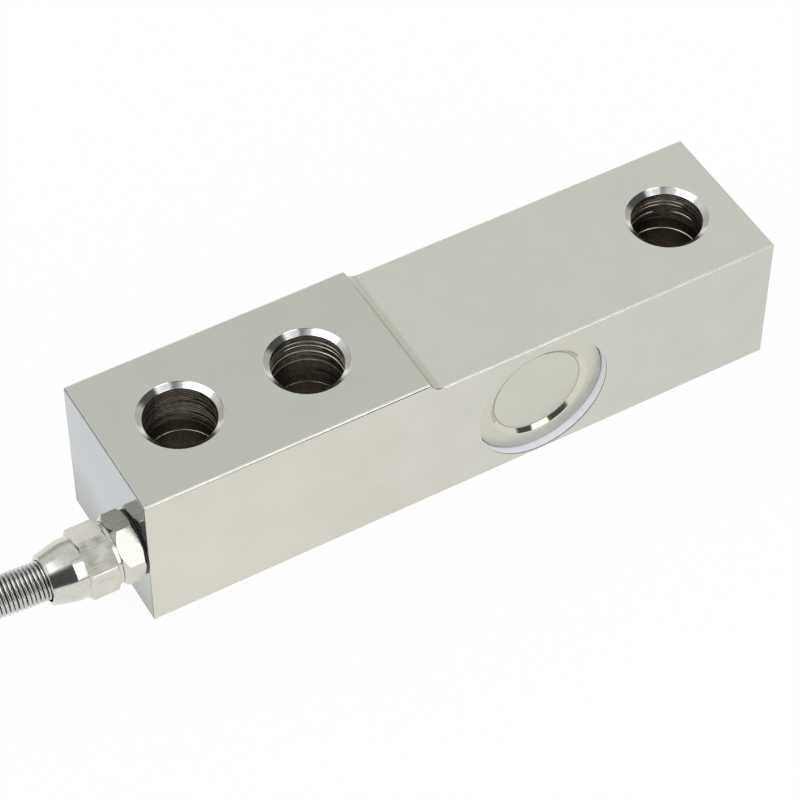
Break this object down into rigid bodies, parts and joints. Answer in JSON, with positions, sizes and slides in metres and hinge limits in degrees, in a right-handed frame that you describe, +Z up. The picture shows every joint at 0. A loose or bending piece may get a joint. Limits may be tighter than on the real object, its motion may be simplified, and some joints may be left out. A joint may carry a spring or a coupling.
{
  "type": "shear beam load cell",
  "caption": "Stepped steel bar load cell with through bolt holes, dished side caps over a strain-gauged web, and a cable gland with a spring guard.",
  "frame": {"origin": "middle of the bar's flat underside", "axes": "+X along the bar from the cable end to the load end, +Y from the front face with the nearer cable entry to the rear face, +Z up"},
  "size_m": [0.3265, 0.0498, 0.0345],
  "materials": {
    "plated_steel": "nickel-plated alloy steel, ground and satin",
    "cap_steel": "pressed stainless sheet, plated, smooth",
    "nickel_plated_brass": "turned brass, bright nickel plate",
    "spring_wire": "bright stainless spring wire",
    "seal_rubber": "nitrile rubber",
    "washer_nylon": "natural nylon",
    "gauge_film": "amber polyimide film",
    "gauge_foil": "etched constantan foil",
    "terminal_copper": "copper solder terminals on a thin backing",
    "enamelled_wire": "enamelled copper wire",
    "board_laminate": "glass-epoxy laminate",
    "chip_black": "chip resistors",
    "link_insulation": "fluoropolymer-insulated wire",
    "core_red": "insulated core",
    "core_black": "insulated core",
    "core_green": "insulated core",
    "core_white": "insulated core",
    "silicone_gel": "clear soft silicone gel",
    "cable_jacket": "dark grey flexible jacket",
    "tie_nylon": "natural nylon cable tie",
    "shrink_sleeve": "heat-shrink tube",
    "tinned_copper": "tinned copper strands"
  },
  "bodies": {
    "root": {"beam_body": "plated_steel", "front_sealing_cap": "cap_steel", "rear_sealing_cap": "cap_steel", "front_gauge_backing": "gauge_film", "rear_gauge_backing": "gauge_film", "front_gauge_grids": "gauge_foil", "rear_gauge_grids": "gauge_foil", "front_terminal_strip": "terminal_copper", "rear_terminal_strip": "terminal_copper", "front_jumper_wires": "enamelled_wire", "rear_jumper_wires": "enamelled_wire", "compensation_board": "board_laminate", "trimming_resistors": "chip_black", "link_wires": "link_insulation", "lead_core_red": "core_red", "lead_core_black": "core_black", "lead_core_green": "core_green", "lead_core_white": "core_white", "front_gel_fill": "silicone_gel", "rear_gel_fill": "silicone_gel", "gland_seal_ring": "seal_rubber", "gland_body": "nickel_plated_brass", "gland_insert": "seal_rubber", "slip_washer": "washer_nylon", "dome_nut": "nickel_plated_brass", "spring_guard": "spring_wire", "cable_lead": "cable_jacket", "cable_hank": "cable_jacket", "cable_tail": "cable_jacket", "hank_tie_front": "tie_nylon", "hank_tie_rear": "tie_nylon", "tail_sleeve": "shrink_sleeve", "tail_core_red": "core_red", "tail_core_black": "core_black", "tail_core_green": "core_green", "tail_core_white": "core_white", "tail_core_tips": "tinned_copper", "tail_shield_drain": "tinned_copper"}
  },
  "joints": []
}
